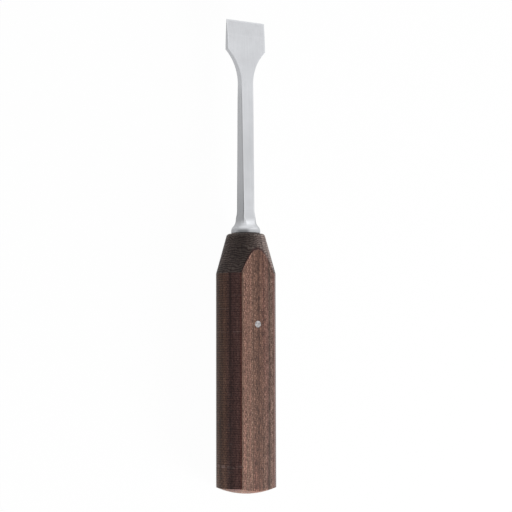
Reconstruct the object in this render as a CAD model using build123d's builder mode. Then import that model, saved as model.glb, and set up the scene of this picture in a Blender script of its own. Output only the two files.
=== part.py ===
"""Osteotome: a steel chisel blade on a tang, a round laminate handle with two flats and a cross pin.

It lies on one flat of its handle, with the cutting edge towards +Y and +Z up.
Millimetres.
"""

import os
from math import acos, cos, radians, sin, sqrt, tan

from build123d import *

# Lengths along the tool's axis
handle_length = 116.8
steel_length = 98.2

# Handle section: a round bar with a flat above and below
handle_diameter = 27.0
flat_gap = 21.2
handle_edge_radius = 0.3

# Handle ends: a turned cone at the front and a shallow dome at the butt
handle_front_radius = 8.55
cone_half_angle = 15.4
front_rim_radius = 1.2
butt_dome_radius = 33.2

# Blade head, neck and shank, seen from the front
edge_width = 20.0
head_length = 14.0
shoulder_width = 19.6
neck_length = 15.5
shank_width_at_neck = 6.15
shank_width_at_bolster = 5.6

# Blade head, neck and shank, seen from the side
edge_land = 0.1
bevel_length = 7.5
bevel_thickness = 1.74
shoulder_thickness = 2.6
shank_thickness_at_neck = 3.8
shank_thickness_midway = 5.1
shank_thickness_at_bolster = 6.3

# Bolster: the shank's four sides flare out, and a turned bell rounds them off
bolster_radius = 6.65
bolster_band = 1.2
bell_crown_radius = 3.4
bell_throat_radius = 4.2
bell_neck_radius = 4.6
flare_start = 11.5
flare_length = 9.3
flare_depth = 4.1
bolster_base_radius = 0.6
shank_edge_radius = 0.25

# Tang inside the handle, and the pin through both
tang_radius = 3.5
tang_length = 58.0
tang_chamfer = 1.0
tang_side_clearance = 0.05
tang_end_clearance = 1.0
pin_diameter = 3.0
pin_setback = 41.1
pin_clearance = 0.03

# Places that follow from the sizes
axis_height = flat_gap / 2
butt_y = -(handle_length + steel_length) / 2
handle_front_y = butt_y + handle_length
cutting_edge_y = handle_front_y + steel_length
shoulder_y = cutting_edge_y - head_length
bevel_y = cutting_edge_y - bevel_length
neck_y = shoulder_y - neck_length
flare_y = handle_front_y + flare_start
shank_middle_y = (neck_y + flare_y) / 2
pin_y = handle_front_y - pin_setback
pin_hole_radius = pin_diameter / 2 + pin_clearance
tool_axis = Axis((0, 0, axis_height), (0, 1, 0))
front_view = Plane.XY.offset(axis_height)
side_view = Plane(origin=(0, 0, axis_height), x_dir=(0, 0, 1), z_dir=(-1, 0, 0))


def across(y):
    """A plane square to the tool's axis at y, facing the cutting edge."""
    return Plane(origin=(0, y, axis_height), x_dir=(-1, 0, 0), z_dir=(0, 1, 0))


os.makedirs("parts", exist_ok=True)

# Handle
blank_radius = handle_diameter / 2 + 1
cone_start_y = handle_front_y - (blank_radius - handle_front_radius) / tan(radians(cone_half_angle))
dome_rim_y = butt_y + butt_dome_radius - sqrt(butt_dome_radius**2 - blank_radius**2)

with BuildPart() as handle:
    with BuildSketch(across(butt_y)) as section:
        Circle(handle_diameter / 2)
        Rectangle(handle_diameter, flat_gap, mode=Mode.INTERSECT)
        fillet(section.vertices(), radius=handle_edge_radius)
    extrude(amount=handle_length)
    with BuildSketch(front_view):
        with BuildLine():
            RadiusArc((0, butt_y), (blank_radius, dome_rim_y), -butt_dome_radius)
            Polyline(
                (blank_radius, dome_rim_y),
                (blank_radius, cone_start_y),
                (handle_front_radius, handle_front_y),
                (0, handle_front_y),
                (0, butt_y),
            )
        turned = make_face()
        fillet(turned.vertices().group_by(Axis.Y)[-1].sort_by(Axis.X)[-1], radius=front_rim_radius)
    revolve(axis=tool_axis, mode=Mode.INTERSECT)
    with BuildSketch(across(handle_front_y)):
        Circle(tang_radius + tang_side_clearance)
    extrude(amount=-(tang_length + tang_end_clearance), mode=Mode.SUBTRACT)
    with BuildSketch(Plane.XY):
        with Locations((0, pin_y)):
            Circle(pin_hole_radius)
    extrude(amount=flat_gap, mode=Mode.SUBTRACT)
handle.part.label = "handle"
export_step(handle.part, "parts/handle.step")


# Blade, in one piece with its neck, shank, bolster and tang
def flared_side(half_size):
    """Draw one flared side from the shank to the axis: a quarter ellipse, then a wide foot."""
    foot_y = flare_y - flare_length
    EllipticalCenterArc(
        (half_size + flare_depth, flare_y),
        flare_depth,
        flare_length,
        start_angle=180,
        arc_size=90,
    )
    Polyline(
        (half_size + flare_depth, foot_y),
        (blank_reach, foot_y),
        (blank_reach, handle_front_y),
        (0, handle_front_y),
        (0, cutting_edge_y),
    )


def is_ridge(edge):
    """Tell whether an edge is one of the long corners of the neck, shank and flare."""
    place = edge.center()
    off_centre = abs(place.X) > edge_land and abs(place.Z - axis_height) > edge_land
    return off_centre and handle_front_y < place.Y < shoulder_y


blank_reach = bolster_radius + flare_depth
crown_y = handle_front_y + bolster_band
bell_slope = acos(1 - (bolster_radius - bell_neck_radius) / (bell_crown_radius + bell_throat_radius))
crown_end = (
    bolster_radius - bell_crown_radius * (1 - cos(bell_slope)),
    crown_y + bell_crown_radius * sin(bell_slope),
)
bell_neck_y = crown_end[1] + bell_throat_radius * sin(bell_slope)

with BuildPart() as blade:
    with BuildSketch(front_view):
        with BuildLine():
            Polyline(
                (0, cutting_edge_y),
                (edge_width / 2, cutting_edge_y),
                (shoulder_width / 2, shoulder_y),
            )
            TangentArc(
                (shank_width_at_neck / 2, neck_y),
                (shoulder_width / 2, shoulder_y),
                tangent=(0, 1),
            )
            Spline(
                (shank_width_at_neck / 2, neck_y),
                (shank_width_at_bolster / 2, flare_y),
                tangents=((0, -1), (0, -1)),
            )
            flared_side(shank_width_at_bolster / 2)
        make_face()
        mirror(about=Plane.YZ)
    extrude(amount=edge_width, both=True)

    with BuildSketch(side_view):
        with BuildLine():
            Polyline(
                (0, cutting_edge_y),
                (edge_land / 2, cutting_edge_y),
                (bevel_thickness / 2, bevel_y),
                (shoulder_thickness / 2, shoulder_y),
            )
            Spline(
                (shoulder_thickness / 2, shoulder_y),
                (shank_thickness_at_neck / 2, neck_y),
                (shank_thickness_midway / 2, shank_middle_y),
                (shank_thickness_at_bolster / 2, flare_y),
                tangents=((shank_thickness_at_neck - shoulder_thickness, -2 * neck_length), (0, -1)),
            )
            flared_side(shank_thickness_at_bolster / 2)
        make_face()
        mirror(about=Plane.YZ)
    extrude(amount=edge_width, both=True, mode=Mode.INTERSECT)
    ridges = blade.edges().filter_by(is_ridge)
    fillet(ridges, radius=shank_edge_radius)

    with BuildSketch(front_view):
        with BuildLine():
            Polyline((0, handle_front_y), (bolster_radius, handle_front_y), (bolster_radius, crown_y))
            TangentArc((bolster_radius, crown_y), crown_end, tangent=(0, 1))
            TangentArc((bell_neck_radius, bell_neck_y), crown_end, tangent=(0, -1))
            Polyline(
                (bell_neck_radius, bell_neck_y),
                (bell_neck_radius, flare_y),
                (edge_width, flare_y),
                (edge_width, cutting_edge_y),
                (0, cutting_edge_y),
                (0, handle_front_y),
            )
        bell = make_face()
        base_corner = bell.vertices().sort_by_distance((bolster_radius, handle_front_y))[0]
        fillet(base_corner, radius=bolster_base_radius)
    revolve(axis=tool_axis, mode=Mode.INTERSECT)

    with BuildSketch(across(handle_front_y)):
        Circle(tang_radius)
    extrude(amount=-tang_length)
    chamfer(blade.faces().sort_by(Axis.Y)[0].edges(), length=tang_chamfer)
    with BuildSketch(Plane.XY):
        with Locations((0, pin_y)):
            Circle(pin_hole_radius)
    extrude(amount=flat_gap, mode=Mode.SUBTRACT)
blade.part.label = "blade"
export_step(blade.part, "parts/blade.step")

# Cross pin, flush with both flats
with BuildPart() as pin:
    with BuildSketch(Plane.XY):
        with Locations((0, pin_y)):
            Circle(pin_diameter / 2)
    extrude(amount=flat_gap)
pin.part.label = "pin"
export_step(pin.part, "parts/pin.step")
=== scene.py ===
"""Osteotome lying on a pale studio floor: satin steel blade, fabric-laminate handle, steel pin.

Metres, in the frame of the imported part: the tool lies along Y with its cutting edge
towards +Y, its wide flats square to Z and one of them on the floor at Z = 0. The
materials measure the tool in millimetres: X across it, Y along it, and Z up from its axis.
"""

import math

import bpy
from mathutils import Matrix, Vector


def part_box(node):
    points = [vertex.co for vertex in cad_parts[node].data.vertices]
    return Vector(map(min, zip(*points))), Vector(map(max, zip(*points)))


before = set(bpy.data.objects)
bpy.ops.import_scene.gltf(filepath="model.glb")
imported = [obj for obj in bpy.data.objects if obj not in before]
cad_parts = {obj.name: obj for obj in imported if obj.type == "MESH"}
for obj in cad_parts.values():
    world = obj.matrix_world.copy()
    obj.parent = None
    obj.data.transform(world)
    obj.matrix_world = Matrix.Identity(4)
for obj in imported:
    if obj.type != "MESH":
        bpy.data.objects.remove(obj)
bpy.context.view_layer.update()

MM = 0.001
AXIS_HEIGHT = (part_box("handle")[0][2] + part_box("handle")[1][2]) / 2

# Camera: distances in metres, angles in degrees, for a square image
CAMERA_DISTANCE = 0.6454
CAMERA_TURN = 31.14
CAMERA_TILT = -4.03
CAMERA_ROLL = 0.14
AIM_ALONG = -0.62 * MM
AIM_ACROSS = 4.65 * MM
IMAGE_WIDTH = 512
PIXELS_PER_METRE = 2200
NEAREST_SEEN = 0.01

# Light
WHITE = (1.0, 1.0, 1.0, 1.0)
WORLD_LIGHT = 0.12
KEY_POWER = 33.0
KEY_SIZE = 0.6
KEY_DIRECTION = (0.72, -0.60, 0.40)
FILL_POWER = 0.6
FILL_SIZE = 0.35
FILL_DIRECTION = (0.51, 0.67, 0.54)
LAMP_DISTANCE = 1.2
FLOOR_REACH = 3.0
FLOOR_COLOUR = (0.8, 0.8, 0.8, 1.0)
FLOOR_GLOW_SEEN = 0.98
FLOOR_GLOW_MIRRORED = 0.75

# Texture scales in X, Y and Z: 1000 is one unit to a millimetre, and less is drawn out
EVEN = (1000.0, 1000.0, 1000.0)
GROUND_LENGTHWISE = (1000.0, 22.0, 1000.0)
TURNED_RINGS = (30.0, 1400.0, 30.0)
WANDERING = (60.0, 12.0, 60.0)
LONG_STREAKS = (1000.0, 10.0, 1000.0)
SHORT_STREAKS = (1000.0, 160.0, 1000.0)
FINE_STREAKS = (1000.0, 260.0, 1000.0)

# Share of a thin line's half width where the line is at full strength
LINE_CORE = 0.4

# Blade: where its parts start and end along it, and their sizes, as in the solids
COLLAR_RADIUS = 6.65
COLLAR_END = 20.8
NECK_END = 78.0
HEAD_START = 93.5
BEVEL_START = 100.0
CUTTING_EDGE = 107.5
SHANK_HALF_WIDTHS = (2.80, 3.08)
SHANK_HALF_HEIGHTS = (3.15, 1.90)
HEAD_HALF_WIDTHS = (9.80, 10.00)

# Blade: colour and grain
STEEL_COLOUR = (0.560, 0.568, 0.588, 1.0)
STEEL_DARK = (0.490, 0.498, 0.516, 1.0)
STEEL_TONES = (0.35, 0.85)
SCRATCH_WEIGHT = 0.7
CLOUD_WEIGHT = 0.5
GROUND_FROM = (COLLAR_END - 2.0, COLLAR_END + 4.0)
NOISE_RANGE = (0.3, 0.7)
STEEL_ROUGHNESS = (0.30, 0.42)
SPECK_DEPTH = 0.010 * MM
SCRATCH_DEPTH = 0.02 * MM

# Shank: painted shade and highlights by the distance past a ridge; a line is a middle and a half
# width
SHANK_APPEARS = (13.0, 16.0)
SHANK_FADES = (NECK_END - 6.0, NECK_END)
CONTRAST_SOFTENS = (18.0, 40.0)
CONTRASTS = (2.0, 1.0)
SHANK_SIDE_STARTS = (0.05, 0.25)
SHANK_SIDE_PAINTED_SHADE = -0.12
RIDGE_SHADE_LINE = (0.25, 0.5)
RIDGE_SHADE_GAIN = -0.20
RIDGE_HIGHLIGHT_LINE = (-0.45, 0.4)
RIDGE_HIGHLIGHT_GAIN = 0.06

# Collar: painted shade on its left and a painted highlight band on its top, by direction in X and
# Z from the axis
COLLAR_SHADE_DIRECTION = (-0.68, 0.73)
COLLAR_SHADE_UNEVENNESS = 0.12
COLLAR_SHADE_SPREAD = (0.84, 0.99)
COLLAR_SHADE_SHARES = (0.22, 1.0)
COLLAR_SHADE_ENDS = (10.1, 12.3)
COLLAR_SHADE_STRENGTH = 0.34
COLLAR_HIGHLIGHT_DIRECTION = (-0.26, 0.97)
COLLAR_HIGHLIGHT_SPREAD = (0.55, 0.85)
COLLAR_HIGHLIGHT_BAND = (13.0, 2.6)
COLLAR_HIGHLIGHT_GAIN = 1.35

# Head: painted light brightening it towards the edge, painted shade on the bevel, and painted
# light on its rim
HEAD_PAINTED_LIGHT_RANGE = (40.0, NECK_END)
HEAD_PAINTED_LIGHT = 1.09
BEVEL_PAINTED_SHADE_RANGE = (BEVEL_START - 1.5, BEVEL_START + 2.5)
BEVEL_PAINTED_SHADE = 0.90
HEAD_RIM_STARTS = (HEAD_START - 0.5, HEAD_START + 0.5)
HEAD_RIM_LINE = (0.35, 0.35)
HEAD_TIP_LINE = (CUTTING_EDGE - 0.3, 0.4)
HEAD_RIM_LIGHT = 0.13

# Pin
PIN_DARK = (0.170, 0.165, 0.170, 1.0)
PIN_LIGHT = (0.370, 0.360, 0.365, 1.0)
PIN_CLOUDS = (0.40, 0.60)
PIN_ROUGHNESS = (0.35, 0.5)
PIN_PIT_DEPTH = 0.02 * MM

# Laminate: how the cloth layers lie and how their threads run
LAYER_LEAN = -10.0
LAYER_SHIFT = 1.75
LAYER_THICKNESS = 1.05
LAYER_WANDER = 1.6
THREAD_PITCH = 1.04
THREAD_RISE = 0.13
THREAD_EDGE = 0.12
THREAD_EDGE_FILL = 0.45
RANDOM_SHIFT_ALONG = 7.3
RANDOM_SHIFT_ACROSS = 11.9
FIBRE_WEIGHT = 0.6
STIPPLE_WEIGHT = 0.4
FIBRE_FILL = (0.40, 0.56)
LAMINATE_ROUGHNESS = (0.42, 0.62)
LAMINATE_SPECULAR = 0.16
THREAD_DEPTH = 0.03 * MM

# Laminate: colours of the cloth, and how they change over a layer and across the handle
RESIN_COLOUR = (0.060, 0.030, 0.024, 1.0)
WARP_COLOUR = (0.232, 0.126, 0.092, 1.0)
WEFT_COLOUR = (0.338, 0.203, 0.158, 1.0)
RED_TINT = (1.06, 0.95, 0.93, 1.0)
KHAKI_TINT = (0.98, 1.05, 0.97, 1.0)
RED_TO_KHAKI = (0.47, 0.66)
LAYER_HUE_SEED = 0.37
LAYER_HUE_WEIGHT = 0.10
LEFT_HUE = (1.03, 1.03, 1.04, 1.0)
MIDDLE_HUE = (1.06, 0.92, 0.93, 1.0)
RIGHT_HUE = (0.90, 0.97, 1.06, 1.0)
BAND_WANDER = 9.0
LEFT_TO_MIDDLE = (0.0, 3.5)
MIDDLE_TO_RIGHT = (6.5, 10.0)

# Laminate: brightness of layers and streaks
LAYER_TONE = 0.30
BROAD_TONE = 0.30
NARROW_TONE = 0.40
TONE_SUMS = (0.15, 0.85)
TONES = (0.45, 1.50)

# Laminate: the round sides, where the threads lie in rows, with one dark layer among them
FLAT_EDGE = 8.36
ROUND_SIDE_STARTS = (FLAT_EDGE, FLAT_EDGE + 0.3)
SIDE_COVER = 0.7
SIDE_DARK = (0.110, 0.062, 0.058, 1.0)
SIDE_LIGHT = (0.250, 0.150, 0.140, 1.0)
SIDE_STIPPLE = (0.4, 0.6)
KHAKI_SIDE = (1.10, 1.03, 0.80, 1.0)
PURPLE_SIDE = (1.02, 0.90, 0.92, 1.0)
GREY_SIDE = (0.95, 1.18, 1.15, 1.0)
KHAKI_TO_PURPLE = (3.5, 6.0)
ROW_STIPPLE = 3.0
ROW_SUMS = (0.0, 3.0)
ROW_TONES = (0.62, 1.38)
DARK_LAYER_HEIGHT = 6.2
DARK_LAYER_HALF_WIDTH = 0.75
DARK_LAYER_FADES = (-60.0, -20.0)
DARK_LAYER_SHADES = (0.80, 0.50)
UPPER_SIDE = (6.5, 10.3)
UPPER_SIDE_SHADES = (0.82, 1.20)
LOWER_SIDE = (6.0, 6.5)
LOWER_SIDE_SHADE = 0.94
# Painted shade on the round side to the right of the flat, where the lamps light it
RIGHT_SIDE = (FLAT_EDGE - 0.2, FLAT_EDGE + 0.3)
RIGHT_SIDE_PAINTED_SHADE = 0.40
LEFT_SIDE = (-FLAT_EDGE - 0.2, -FLAT_EDGE)

# Laminate: the turned cone, and the painted shade on the left of its front
HANDLE_FRONT = 9.3
CONE_ANGLE = 15.4
CONE_FRONT_RADIUS = 8.55
CONE_SLOPE = math.tan(math.radians(CONE_ANGLE))
CONE_RADIUS_AT_ZERO = CONE_FRONT_RADIUS + HANDLE_FRONT * CONE_SLOPE
CONE_DEPTH = (0.02, 0.12)
CONE_COVER = 0.85
TURNED_DARK = (0.055, 0.042, 0.042, 1.0)
TURNED_LIGHT = (0.235, 0.195, 0.175, 1.0)
RING_RIPPLE = 4.0
RING_STIPPLE = 1.5
RING_SUMS = (-0.2, 1.7)
CONE_SHADE_LEAN = -1.136
CONE_SHADE_UNEVENNESS = 0.15
CONE_SHADE_SPREAD = (1.40, 1.51)
CONE_SHADE_STARTS = (-6.0, 0.0)
CONE_SHADE_STRENGTH = 0.70

# Laminate: edge lines, a painted shade line, a painted rim highlight, side wear, a brighter butt
# end, and scratches (middle, half width and strength)
# Painted shade: a dark line on the cone where it meets a flat
ARCH_PAINTED_SHADE = (0.060, 0.022, 0.020, 1.0)
ARCH_HEIGHTS = (10.2, 10.5)
ARCH_COVER = 0.85
EDGE_RED = (0.240, 0.050, 0.033, 1.0)
EDGE_HEIGHTS = (9.9, 10.4)
EDGE_COVER = 0.55
# Painted highlight on the cone's front rim, broken up by stipple
RIM_PAINTED_HIGHLIGHT = (0.400, 0.360, 0.340, 1.0)
RIM_HIGHLIGHT_STARTS = (8.0, 9.0)
RIM_HIGHLIGHT_STIPPLE = (0.35, 0.6)
RIM_HIGHLIGHT_COVER = 0.85
WORN_SIDE = (0.260, 0.250, 0.240, 1.0)
WORN_SIDE_MOTTLE = (0.50, 0.66)
WORN_SIDE_COVER = 0.4
WORN_SIDE_FADES = (-70.0, -40.0)
WORN_SIDE_HALF_WIDTH = 1.6
BUTT_RIM = (-105.0, -104.6)
BUTT_RIM_SHADE = 1.22
SCRATCHED = (0.420, 0.290, 0.270, 1.0)
SCRATCH_BLOTCHES = (0.40, 0.62)
SCRATCH_WANDER = 1.2
SCRATCHES = ((-94.3, 0.72, 0.8), (-18.3, 0.36, 0.35), (-24.1, 0.36, 0.35), (-34.7, 0.36, 0.40))


def feed(tree, socket, value):
    """Join a node's output to a socket, or write a plain value on it."""
    if isinstance(value, bpy.types.NodeSocket):
        tree.links.new(value, socket)
    else:
        socket.default_value = value


def calculate(tree, operation, first, second=None, third=None):
    """Add one arithmetic node and return its result."""
    node = tree.nodes.new("ShaderNodeMath")
    node.operation = operation
    for place, value in enumerate((first, second, third)):
        if value is not None:
            feed(tree, node.inputs[place], value)
    return node.outputs[0]


def multiply(tree, product, *values):
    """Multiply values in turn."""
    for value in values:
        product = calculate(tree, "MULTIPLY", product, value)
    return product


def weighted_sum(tree, first, first_weight, second, second_weight):
    """Add two values, each times its weight."""
    rest = multiply(tree, second, second_weight)
    return calculate(tree, "MULTIPLY_ADD", first, first_weight, rest)


def scale_range(tree, value, low, high, new_low=0.0, new_high=1.0, smooth=False):
    """Map the range low to high onto the range new_low to new_high, and hold it there."""
    node = tree.nodes.new("ShaderNodeMapRange")
    node.interpolation_type = "SMOOTHSTEP" if smooth else "LINEAR"
    node.clamp = True
    feed(tree, node.inputs["Value"], value)
    node.inputs["From Min"].default_value = low
    node.inputs["From Max"].default_value = high
    node.inputs["To Min"].default_value = new_low
    node.inputs["To Max"].default_value = new_high
    return node.outputs["Result"]


def shade_by(tree, share, shade):
    """Return 1 where the share is 0, and the shade where it is 1."""
    return scale_range(tree, share, 0.0, 1.0, 1.0, shade)


def thin_line(tree, value, middle, half_width):
    """Return 1 on a thin line where a value has a given middle, fading to 0 at its sides."""
    off = calculate(tree, "ABSOLUTE", calculate(tree, "SUBTRACT", value, middle))
    return scale_range(tree, off, half_width * LINE_CORE, half_width, 1.0, 0.0)


def mix_values(tree, share, first, second):
    """Blend two values by a share from 0 to 1."""
    node = tree.nodes.new("ShaderNodeMix")
    feed(tree, node.inputs["Factor"], share)
    feed(tree, node.inputs["A"], first)
    feed(tree, node.inputs["B"], second)
    return node.outputs["Result"]


def mix_colours(tree, share, first, second, blend_type="MIX"):
    """Blend two colours by a share from 0 to 1."""
    node = tree.nodes.new("ShaderNodeMix")
    node.data_type = "RGBA"
    node.blend_type = blend_type
    feed(tree, node.inputs["Factor"], share)
    feed(tree, node.inputs["A"], first)
    feed(tree, node.inputs["B"], second)
    return node.outputs["Result"]


def multiply_colours(tree, first, second):
    """Multiply two colours."""
    return mix_colours(tree, 1.0, first, second, blend_type="MULTIPLY")


def brighten(tree, colour, tone):
    """Multiply a colour's brightness by a tone, which may be above 1."""
    node = tree.nodes.new("ShaderNodeHueSaturation")
    feed(tree, node.inputs["Value"], tone)
    feed(tree, node.inputs["Color"], colour)
    return node.outputs["Color"]


def place_texture(tree, scale, turn_about_y=0.0, location=(0.0, 0.0, 0.0)):
    """Return object coordinates, scaled per axis, turned about Y and then moved."""
    coordinates = tree.nodes.new("ShaderNodeTexCoord")
    mapping = tree.nodes.new("ShaderNodeMapping")
    mapping.inputs["Location"].default_value = location
    mapping.inputs["Rotation"].default_value = (0.0, math.radians(turn_about_y), 0.0)
    mapping.inputs["Scale"].default_value = scale
    tree.links.new(coordinates.outputs["Object"], mapping.inputs["Vector"])
    return mapping.outputs["Vector"]


def place_cloth(tree, scale):
    """Return object coordinates that lean as the cloth layers do, scaled per axis."""
    return place_texture(tree, scale, LAYER_LEAN, (LAYER_SHIFT, 0.0, 0.0))


def split(tree, vector):
    """Return the three parts of a vector."""
    node = tree.nodes.new("ShaderNodeSeparateXYZ")
    tree.links.new(vector, node.inputs["Vector"])
    return node.outputs["X"], node.outputs["Y"], node.outputs["Z"]


def place_on_tool(tree):
    """Return a point's place across, along and above the tool's axis, in millimetres."""
    return split(tree, place_texture(tree, EVEN, location=(0.0, 0.0, -AXIS_HEIGHT / MM)))


def grain(tree, vector, scale, detail=3.0, roughness=0.55):
    """Add a noise texture and return its value, which is about 0.5 on average."""
    node = tree.nodes.new("ShaderNodeTexNoise")
    node.inputs["Scale"].default_value = scale
    node.inputs["Detail"].default_value = detail
    node.inputs["Roughness"].default_value = roughness
    tree.links.new(vector, node.inputs["Vector"])
    return node.outputs["Fac"]


def random_value(tree, value):
    """Return one random value from 0 to 1 for each whole number."""
    node = tree.nodes.new("ShaderNodeTexWhiteNoise")
    node.noise_dimensions = "1D"
    tree.links.new(value, node.inputs["W"])
    return node.outputs["Value"]


def bump(tree, height, distance, normal=None):
    """Raise the surface by a height from 0 to 1 times the distance in metres."""
    node = tree.nodes.new("ShaderNodeBump")
    node.inputs["Strength"].default_value = 1.0
    node.inputs["Distance"].default_value = distance
    tree.links.new(height, node.inputs["Height"])
    if normal is not None:
        tree.links.new(normal, node.inputs["Normal"])
    return node.outputs["Normal"]


def new_material(name):
    """Return a new material with its node tree and its surface shader."""
    material = bpy.data.materials.new(name)
    material.use_nodes = True
    tree = material.node_tree
    return material, tree, tree.nodes["Principled BSDF"]


def shade_shank(tree, width, along, height):
    """Return the shank's painted shade: darker sides, a dark line and a highlight at each ridge.
    """
    half_width = scale_range(tree, along, COLLAR_END, NECK_END, *SHANK_HALF_WIDTHS)
    half_height = scale_range(tree, along, COLLAR_END, NECK_END, *SHANK_HALF_HEIGHTS)
    from_middle = calculate(tree, "ABSOLUTE", width)
    wider_by = calculate(tree, "SUBTRACT", from_middle, calculate(tree, "ABSOLUTE", height))
    ridge = calculate(tree, "SUBTRACT", half_width, half_height)
    past_ridge = calculate(tree, "SUBTRACT", wider_by, ridge)

    # Painted shade on the side faces, and a painted dark line and painted highlight along each
    # ridge
    sides = scale_range(tree, past_ridge, *SHANK_SIDE_STARTS, 0.0, SHANK_SIDE_PAINTED_SHADE)
    dark = multiply(tree, thin_line(tree, past_ridge, *RIDGE_SHADE_LINE), RIDGE_SHADE_GAIN)
    light = multiply(tree, thin_line(tree, past_ridge, *RIDGE_HIGHLIGHT_LINE), RIDGE_HIGHLIGHT_GAIN)
    change = calculate(tree, "ADD", sides, calculate(tree, "ADD", dark, light))
    contrast = multiply(
        tree,
        scale_range(tree, along, *SHANK_APPEARS, smooth=True),
        scale_range(tree, along, *SHANK_FADES, 1.0, 0.0),
        scale_range(tree, along, *CONTRAST_SOFTENS, *CONTRASTS, smooth=True),
    )
    return calculate(tree, "MULTIPLY_ADD", contrast, change, 1.0)


def face_on_collar(tree, width, height, direction):
    """Return how far a point of the collar lies in a direction, as a share of its radius."""
    sideways, upwards = (part / COLLAR_RADIUS for part in direction)
    return weighted_sum(tree, height, upwards, width, sideways)


def paint_collar_shade(tree, width, along, height, cloud):
    """Return the painted shade on the collar's left, a dark reflection of the handle and its
    shadow.
    """
    towards_collar_shade = face_on_collar(tree, width, height, COLLAR_SHADE_DIRECTION)
    unevenness = calculate(tree, "SUBTRACT", cloud, 0.5)
    uneven = calculate(tree, "MULTIPLY_ADD", unevenness, COLLAR_SHADE_UNEVENNESS, towards_collar_shade)
    collar_shade_share = scale_range(tree, uneven, *COLLAR_SHADE_SPREAD, *COLLAR_SHADE_SHARES, smooth=True)
    reach = scale_range(tree, along, *COLLAR_SHADE_ENDS, 1.0, 0.0, smooth=True)
    return shade_by(tree, multiply(tree, collar_shade_share, reach), COLLAR_SHADE_STRENGTH)


def paint_collar_highlight(tree, width, along, height):
    """Return the painted highlight along a band on the collar's top."""
    towards_collar_highlight = face_on_collar(tree, width, height, COLLAR_HIGHLIGHT_DIRECTION)
    collar_highlight_share = scale_range(tree, towards_collar_highlight, *COLLAR_HIGHLIGHT_SPREAD, smooth=True)
    collar_highlight_share = multiply(tree, collar_highlight_share, thin_line(tree, along, *COLLAR_HIGHLIGHT_BAND))
    return shade_by(tree, collar_highlight_share, COLLAR_HIGHLIGHT_GAIN)


def light_head_rim(tree, width, along):
    """Return 1 on the thin lines of light along the head's two sides and its cutting edge."""
    half_width = scale_range(tree, along, HEAD_START, CUTTING_EDGE, *HEAD_HALF_WIDTHS)
    from_side = calculate(tree, "SUBTRACT", half_width, calculate(tree, "ABSOLUTE", width))
    on_head = scale_range(tree, along, *HEAD_RIM_STARTS)
    sides = multiply(tree, thin_line(tree, from_side, *HEAD_RIM_LINE), on_head)
    return calculate(tree, "MAXIMUM", sides, thin_line(tree, along, *HEAD_TIP_LINE))


def make_blade_steel():
    """Satin steel: ground lengthwise on the head and shank, turned in rings on the collar.

    Noise gives the grain and soft clouds. Painted shade and painted highlights on the shank's
    faces, the collar and the head are laid over it by a point's place on the tool.
    """
    material, tree, surface = new_material("satin_blade_steel")
    width, along, height = place_on_tool(tree)
    even = place_texture(tree, EVEN)
    ground = grain(tree, place_texture(tree, GROUND_LENGTHWISE), 2.2, detail=4.0, roughness=0.6)
    turned = grain(tree, place_texture(tree, TURNED_RINGS), 2.0, detail=3.0, roughness=0.6)
    cloud = grain(tree, even, 0.12, detail=3.0)
    speck = grain(tree, even, 3.5, detail=2.0)
    ground_share = scale_range(tree, along, *GROUND_FROM, smooth=True)
    scratch = mix_values(tree, ground_share, turned, ground)
    tone = weighted_sum(tree, scratch, SCRATCH_WEIGHT, cloud, CLOUD_WEIGHT)
    colour = mix_colours(tree, scale_range(tree, tone, *STEEL_TONES), STEEL_DARK, STEEL_COLOUR)

    # Painted light: the blade brightens towards the head. Painted shade: the bevel is dimmer.
    head = scale_range(tree, along, *HEAD_PAINTED_LIGHT_RANGE, 1.0, HEAD_PAINTED_LIGHT, smooth=True)
    bevel = scale_range(tree, along, *BEVEL_PAINTED_SHADE_RANGE, 1.0, BEVEL_PAINTED_SHADE, smooth=True)
    shade = multiply(
        tree,
        shade_shank(tree, width, along, height),
        paint_collar_shade(tree, width, along, height, cloud),
        paint_collar_highlight(tree, width, along, height),
        multiply(tree, head, bevel),
    )
    rim = light_head_rim(tree, width, along)
    shade = calculate(tree, "MULTIPLY_ADD", rim, HEAD_RIM_LIGHT, shade)
    feed(tree, surface.inputs["Base Color"], brighten(tree, colour, shade))

    surface.inputs["Metallic"].default_value = 1.0
    uneven = weighted_sum(tree, cloud, 0.5, speck, 0.5)
    roughness = scale_range(tree, uneven, *NOISE_RANGE, *STEEL_ROUGHNESS)
    feed(tree, surface.inputs["Roughness"], roughness)
    specks = bump(tree, speck, SPECK_DEPTH)
    feed(tree, surface.inputs["Normal"], bump(tree, scratch, SCRATCH_DEPTH, normal=specks))
    return material


def make_pin_steel():
    """Duller steel of the pin's end, with small pits."""
    material, tree, surface = new_material("dull_pin_steel")
    even = place_texture(tree, EVEN)
    cloud = grain(tree, even, 1.0, detail=3.0)
    speck = grain(tree, even, 5.0, detail=2.0)
    colour = mix_colours(tree, scale_range(tree, cloud, *PIN_CLOUDS), PIN_DARK, PIN_LIGHT)
    feed(tree, surface.inputs["Base Color"], colour)
    surface.inputs["Metallic"].default_value = 1.0
    roughness = scale_range(tree, speck, *NOISE_RANGE, *PIN_ROUGHNESS)
    feed(tree, surface.inputs["Roughness"], roughness)
    feed(tree, surface.inputs["Normal"], bump(tree, speck, PIN_PIT_DEPTH))
    return material


def wave(tree, place, length):
    """Return a sine wave of a given length over a place."""
    return calculate(tree, "SINE", multiply(tree, place, 2 * math.pi / length))


def plain_weave(tree, along, across, shift):
    """Return the rise and fall of a plain weave, moved by the random shift of its layer."""
    moved_along = calculate(tree, "MULTIPLY_ADD", shift, RANDOM_SHIFT_ALONG, along)
    moved_across = calculate(tree, "MULTIPLY_ADD", shift, RANDOM_SHIFT_ACROSS, across)
    along_wave = wave(tree, moved_along, 2 * THREAD_PITCH)
    return multiply(tree, along_wave, wave(tree, moved_across, 2 * THREAD_PITCH))


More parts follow.
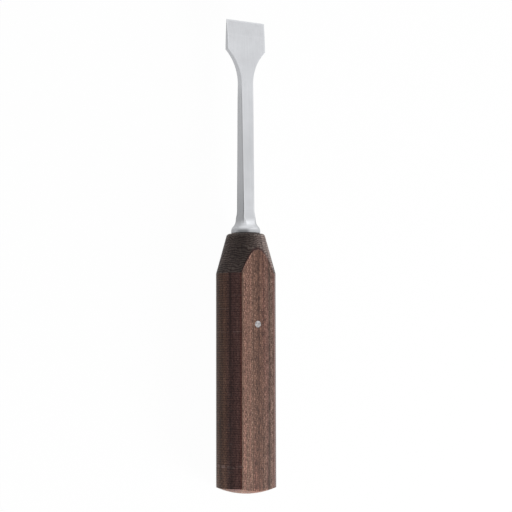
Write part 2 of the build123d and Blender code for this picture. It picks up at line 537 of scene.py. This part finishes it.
def cut_layers(tree, depth, along, across):
    """Find which cloth layer a point lies in and which thread it cuts there.

    Returns the layer's number, the share of weft over warp, and how full the thread is:
    1 inside it and less where two threads meet.
    """
    wander = grain(tree, place_texture(tree, WANDERING), 1.0, detail=2.0)
    drifting = calculate(tree, "MULTIPLY_ADD", wander, LAYER_WANDER, depth)
    rough_layer = calculate(tree, "FLOOR", calculate(tree, "DIVIDE", drifting, LAYER_THICKNESS))
    weave = plain_weave(tree, along, across, random_value(tree, rough_layer))
    lifted = calculate(tree, "MULTIPLY_ADD", weave, THREAD_RISE, drifting)
    layers = calculate(tree, "DIVIDE", lifted, LAYER_THICKNESS)
    from_core = calculate(tree, "SUBTRACT", calculate(tree, "FRACT", layers), 0.5)
    side = multiply(tree, from_core, weave)
    weft_share = scale_range(tree, side, -THREAD_EDGE, THREAD_EDGE, smooth=True)
    off = calculate(tree, "ABSOLUTE", side)
    thread = scale_range(tree, off, 0.0, THREAD_EDGE, THREAD_EDGE_FILL, 1.0, smooth=True)
    return calculate(tree, "FLOOR", layers), weft_share, thread


def colour_threads(tree, width, layer, weft_share):
    """Return the threads' colour, which differs by layer, by streak and across the handle."""
    long_streaks = place_cloth(tree, LONG_STREAKS)
    yarn = mix_colours(tree, weft_share, WARP_COLOUR, WEFT_COLOUR)
    layer_hue = random_value(tree, calculate(tree, "ADD", layer, LAYER_HUE_SEED))
    tint = grain(tree, long_streaks, 0.7, detail=2.0)
    hue_share = calculate(tree, "MULTIPLY_ADD", layer_hue, LAYER_HUE_WEIGHT, tint)
    hue = mix_colours(tree, scale_range(tree, hue_share, *RED_TO_KHAKI), RED_TINT, KHAKI_TINT)
    wander = grain(tree, long_streaks, 0.25, detail=3.0)
    band = calculate(tree, "MULTIPLY_ADD", wander, BAND_WANDER, width)
    band_hue = mix_colours(tree, scale_range(tree, band, *LEFT_TO_MIDDLE), LEFT_HUE, MIDDLE_HUE)
    band_hue = mix_colours(tree, scale_range(tree, band, *MIDDLE_TO_RIGHT), band_hue, RIGHT_HUE)
    return multiply_colours(tree, yarn, multiply_colours(tree, hue, band_hue))


def colour_side(tree, width, height, stipple):
    """Return the round sides' colour: khaki low down, purple above it, and grey on the right."""
    yarn = mix_colours(tree, scale_range(tree, stipple, *SIDE_STIPPLE), SIDE_DARK, SIDE_LIGHT)
    hue = mix_colours(tree, scale_range(tree, height, *KHAKI_TO_PURPLE), KHAKI_SIDE, PURPLE_SIDE)
    hue = mix_colours(tree, scale_range(tree, width, -FLAT_EDGE, FLAT_EDGE), hue, GREY_SIDE)
    return multiply_colours(tree, yarn, hue)


def find_cone(tree, along, radius):
    """Return 1 on the turned cone and 0 on the rest of the handle."""
    cone_radius = calculate(tree, "MULTIPLY_ADD", along, -CONE_SLOPE, CONE_RADIUS_AT_ZERO)
    past_cone = calculate(tree, "SUBTRACT", cone_radius, radius)
    return scale_range(tree, past_cone, *CONE_DEPTH, 1.0, 0.0)


def colour_cone(tree, along, ripple, stipple):
    """Return the turned cone's colour: cut threads that stand open in wavy rings."""
    ring_place = calculate(tree, "MULTIPLY_ADD", ripple, RING_RIPPLE, along)
    ring = wave(tree, ring_place, THREAD_PITCH)
    ring = calculate(tree, "MULTIPLY_ADD", stipple, RING_STIPPLE, ring)
    return mix_colours(tree, scale_range(tree, ring, *RING_SUMS), TURNED_DARK, TURNED_LIGHT)


def paint_cone_shade(tree, width, along, height, radius, ripple):
    """Return the painted shade on the left of the cone's front, which faces away from the light.
    """
    leaning = calculate(tree, "MULTIPLY_ADD", width, CONE_SHADE_LEAN, height)
    towards_cone_shade = calculate(tree, "DIVIDE", leaning, radius)
    unevenness = calculate(tree, "SUBTRACT", ripple, 0.5)
    cone_shade_share = calculate(tree, "MULTIPLY_ADD", unevenness, CONE_SHADE_UNEVENNESS, towards_cone_shade)
    cone_shade_share = scale_range(tree, cone_shade_share, *CONE_SHADE_SPREAD, smooth=True)
    cone_shade_share = multiply(tree, cone_shade_share, scale_range(tree, along, *CONE_SHADE_STARTS, smooth=True))
    return shade_by(tree, cone_shade_share, CONE_SHADE_STRENGTH)


def wear_side(tree, cloth, along, height, round_side):
    """Return the share of the worn mottle along the round sides' dark layer."""
    mottle = grain(tree, cloth, 0.9, detail=4.0, roughness=0.8)
    return multiply(
        tree,
        scale_range(tree, mottle, *WORN_SIDE_MOTTLE, 0.0, WORN_SIDE_COVER),
        scale_range(tree, along, *WORN_SIDE_FADES, 1.0, 0.0),
        round_side,
        thin_line(tree, height, DARK_LAYER_HEIGHT, WORN_SIDE_HALF_WIDTH),
    )


def scratch_side(tree, cloth, width, along, ripple):
    """Return the share of each faint, broken scratch around the left side."""
    left_side = scale_range(tree, width, *LEFT_SIDE, 1.0, 0.0)
    blotch = scale_range(tree, grain(tree, cloth, 0.55, detail=3.0), *SCRATCH_BLOTCHES)
    waving = calculate(tree, "MULTIPLY_ADD", ripple, SCRATCH_WANDER, along)
    return [
        multiply(tree, thin_line(tree, waving, *line), left_side, multiply(tree, blotch, strength))
        for *line, strength in SCRATCHES
    ]


def tone_streaks(tree, layer):
    """Return the brightness of whole layers and of the streaks along them."""
    broad = grain(tree, place_cloth(tree, LONG_STREAKS), 0.32, detail=2.0)
    narrow = grain(tree, place_cloth(tree, SHORT_STREAKS), 1.3, detail=3.0, roughness=0.65)
    broad = scale_range(tree, broad, *NOISE_RANGE, 0.0, BROAD_TONE)
    narrow = scale_range(tree, narrow, *NOISE_RANGE, 0.0, NARROW_TONE)
    tone = calculate(tree, "MULTIPLY_ADD", random_value(tree, layer), LAYER_TONE, broad)
    return scale_range(tree, calculate(tree, "ADD", tone, narrow), *TONE_SUMS, *TONES)


def tone_side(tree, along, height, stipple):
    """Return the round sides' brightness: rows of threads, and the dark layer among them."""
    rows = wave(tree, along, THREAD_PITCH)
    rows = calculate(tree, "MULTIPLY_ADD", stipple, ROW_STIPPLE, rows)
    rows = scale_range(tree, rows, *ROW_SUMS, *ROW_TONES)
    dark_shade = scale_range(tree, along, *DARK_LAYER_FADES, *DARK_LAYER_SHADES)
    dark_line = thin_line(tree, height, DARK_LAYER_HEIGHT, DARK_LAYER_HALF_WIDTH)
    dark_layer = mix_values(tree, dark_line, 1.0, dark_shade)
    upper = scale_range(tree, height, *UPPER_SIDE, *UPPER_SIDE_SHADES)
    lower = scale_range(tree, height, *LOWER_SIDE, LOWER_SIDE_SHADE, 0.0)
    shade = multiply(tree, dark_layer, calculate(tree, "MAXIMUM", upper, lower))
    return multiply(tree, rows, shade)


def make_laminate():
    """Cotton cloth in dark resin, built up in layers that stand on edge along the handle.

    The cloth lies square to a line that leans a little from X, and its threads rise and
    fall over each other as in a plain weave. The colour at a point depends on its depth
    within a layer and on which thread it meets there, so every cut face shows the weave
    as that face cuts it: stripes and dots on edge, threads side by side where it is flat.
    The cone was turned, which opens the cut threads in wavy rings.
    """
    material, tree, surface = new_material("fabric_laminate")
    width, _, height = place_on_tool(tree)
    cloth = place_cloth(tree, EVEN)
    depth, along, across = split(tree, cloth)
    stipple = grain(tree, cloth, 1.7, detail=4.0, roughness=0.75)
    ripple = grain(tree, cloth, 0.22, detail=2.0)
    fibres = grain(tree, place_cloth(tree, FINE_STREAKS), 2.0, detail=3.0, roughness=0.70)
    fibres = weighted_sum(tree, fibres, FIBRE_WEIGHT, stipple, STIPPLE_WEIGHT)

    layer, weft_share, thread = cut_layers(tree, depth, along, across)
    fill = multiply(tree, thread, scale_range(tree, fibres, *FIBRE_FILL))
    threads = colour_threads(tree, width, layer, weft_share)
    body = mix_colours(tree, fill, RESIN_COLOUR, threads)

    height_squared = multiply(tree, height, height)
    radius_squared = calculate(tree, "MULTIPLY_ADD", width, width, height_squared)
    radius = calculate(tree, "SQRT", radius_squared)
    turned = find_cone(tree, along, radius)
    not_turned = shade_by(tree, turned, 0.0)
    round_side = scale_range(tree, calculate(tree, "ABSOLUTE", width), *ROUND_SIDE_STARTS)
    from_axis = calculate(tree, "ABSOLUTE", height)
    # Painted shade: a dark line on the cone along the arch
    arch_line = multiply(tree, turned, scale_range(tree, from_axis, *ARCH_HEIGHTS))
    edge_line = multiply(tree, round_side, scale_range(tree, from_axis, *EDGE_HEIGHTS), not_turned)
    # Painted highlight on the cone's front rim, broken by the stipple
    rim_highlight = scale_range(tree, along, *RIM_HIGHLIGHT_STARTS)
    rim_highlight = multiply(tree, rim_highlight, scale_range(tree, stipple, *RIM_HIGHLIGHT_STIPPLE))
    coats = [
        (multiply(tree, round_side, SIDE_COVER), colour_side(tree, width, height, stipple)),
        (multiply(tree, turned, CONE_COVER), colour_cone(tree, along, ripple, stipple)),
        (multiply(tree, arch_line, ARCH_COVER), ARCH_PAINTED_SHADE),
        (multiply(tree, edge_line, EDGE_COVER), EDGE_RED),
        (multiply(tree, rim_highlight, RIM_HIGHLIGHT_COVER), RIM_PAINTED_HIGHLIGHT),
        (wear_side(tree, cloth, along, height, round_side), WORN_SIDE),
    ]
    coats += [(share, SCRATCHED) for share in scratch_side(tree, cloth, width, along, ripple)]
    for share, colour in coats:
        body = mix_colours(tree, share, body, colour)

    side_share = multiply(tree, round_side, not_turned)
    tone = multiply(
        tree,
        tone_streaks(tree, layer),
        mix_values(tree, side_share, 1.0, tone_side(tree, along, height, stipple)),
        scale_range(tree, along, *BUTT_RIM, BUTT_RIM_SHADE, 1.0),
        # Painted shade on the left of the cone's front
        paint_cone_shade(tree, width, along, height, radius, ripple),
        # Painted shade on the round side to the right of the flat
        scale_range(tree, width, *RIGHT_SIDE, 1.0, RIGHT_SIDE_PAINTED_SHADE),
    )
    feed(tree, surface.inputs["Base Color"], brighten(tree, body, tone))
    roughness = scale_range(tree, fill, 0.0, 1.0, *LAMINATE_ROUGHNESS)
    feed(tree, surface.inputs["Roughness"], roughness)
    surface.inputs["Specular IOR Level"].default_value = LAMINATE_SPECULAR
    feed(tree, surface.inputs["Normal"], bump(tree, fill, THREAD_DEPTH))
    return material


def ways_seen(tree):
    """Return 1 for rays straight from the camera, and 1 for those by way of a mirror or glass."""
    path = tree.nodes.new("ShaderNodeLightPath")
    reflected, passed = path.outputs["Is Glossy Ray"], path.outputs["Is Transmission Ray"]
    return path.outputs["Is Camera Ray"], calculate(tree, "MAXIMUM", reflected, passed)


def make_floor():
    """A flat white floor that glows where it is seen, and still keeps a pale shadow."""
    material, tree, surface = new_material("white_floor")
    tree.nodes.remove(surface)
    matt = tree.nodes.new("ShaderNodeBsdfDiffuse")
    matt.inputs["Color"].default_value = FLOOR_COLOUR
    glow = tree.nodes.new("ShaderNodeEmission")
    glow.inputs["Color"].default_value = WHITE
    straight, mirrored = ways_seen(tree)
    straight = multiply(tree, straight, FLOOR_GLOW_SEEN)
    mirrored = multiply(tree, mirrored, FLOOR_GLOW_MIRRORED)
    blend = tree.nodes.new("ShaderNodeMixShader")
    feed(tree, blend.inputs[0], calculate(tree, "MAXIMUM", straight, mirrored))
    feed(tree, blend.inputs[1], matt.outputs["BSDF"])
    feed(tree, blend.inputs[2], glow.outputs["Emission"])
    feed(tree, tree.nodes["Material Output"].inputs["Surface"], blend.outputs["Shader"])

    mesh = bpy.data.meshes.new("floor")
    corners = [(-1, -1, 0), (1, -1, 0), (1, 1, 0), (-1, 1, 0)]
    mesh.from_pydata([Vector(corner) * FLOOR_REACH for corner in corners], [], [(0, 1, 2, 3)])
    mesh.materials.append(material)
    floor = bpy.data.objects.new("floor", mesh)
    bpy.context.scene.collection.objects.link(floor)


def make_world():
    """An even, dim studio that is seen as white."""
    world = bpy.data.worlds.new("studio")
    bpy.context.scene.world = world
    world.use_nodes = True
    tree = world.node_tree
    background = tree.nodes["Background"]
    background.inputs["Color"].default_value = WHITE
    seen = calculate(tree, "MAXIMUM", *ways_seen(tree))
    strength = scale_range(tree, seen, 0.0, 1.0, WORLD_LIGHT, 1.0)
    feed(tree, background.inputs["Strength"], strength)


def add_soft_light(name, power, size, direction):
    """Place a square soft light in the given direction from the tool, facing it."""
    light = bpy.data.lights.new(name, "AREA")
    light.energy = power
    light.size = size
    lamp = bpy.data.objects.new(name, light)
    bpy.context.scene.collection.objects.link(lamp)
    towards = Vector(direction).normalized()
    lamp.location = towards * LAMP_DISTANCE
    lamp.rotation_euler = towards.to_track_quat("Z", "Y").to_euler()


def set_camera():
    """Look down on the tool from its left, square to its length but for a slight tilt."""
    turn = math.radians(CAMERA_TURN)
    tilt = math.radians(CAMERA_TILT)
    roll = math.radians(CAMERA_ROLL)
    level = math.cos(tilt)
    back = Vector((-math.sin(turn) * level, math.sin(tilt), math.cos(turn) * level))
    up = (Vector((0, 1, 0)) - back * back.y).normalized()
    right = up.cross(back)
    up = math.cos(roll) * up + math.sin(roll) * right
    right = up.cross(back)
    target = Vector((0, AIM_ALONG, AXIS_HEIGHT)) + right * AIM_ACROSS
    lens = bpy.data.cameras.new("camera")
    camera = bpy.data.objects.new("camera", lens)
    bpy.context.scene.collection.objects.link(camera)
    place = Matrix((right, up, back)).transposed().to_4x4()
    place.translation = target + back * CAMERA_DISTANCE
    camera.matrix_world = place
    lens.angle = 2 * math.atan(IMAGE_WIDTH / 2 / (PIXELS_PER_METRE * CAMERA_DISTANCE))
    lens.clip_start = NEAREST_SEEN
    bpy.context.scene.camera = camera


def finish_node(name, material):
    """Give a CAD node its material in every slot."""
    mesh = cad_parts[name].data
    for place in range(len(mesh.materials)):
        mesh.materials[place] = material


bpy.context.scene.view_settings.view_transform = "Standard"
finish_node("blade", make_blade_steel())
finish_node("handle", make_laminate())
finish_node("pin", make_pin_steel())
make_floor()
make_world()
add_soft_light("key", KEY_POWER, KEY_SIZE, KEY_DIRECTION)
add_soft_light("fill", FILL_POWER, FILL_SIZE, FILL_DIRECTION)
set_camera()
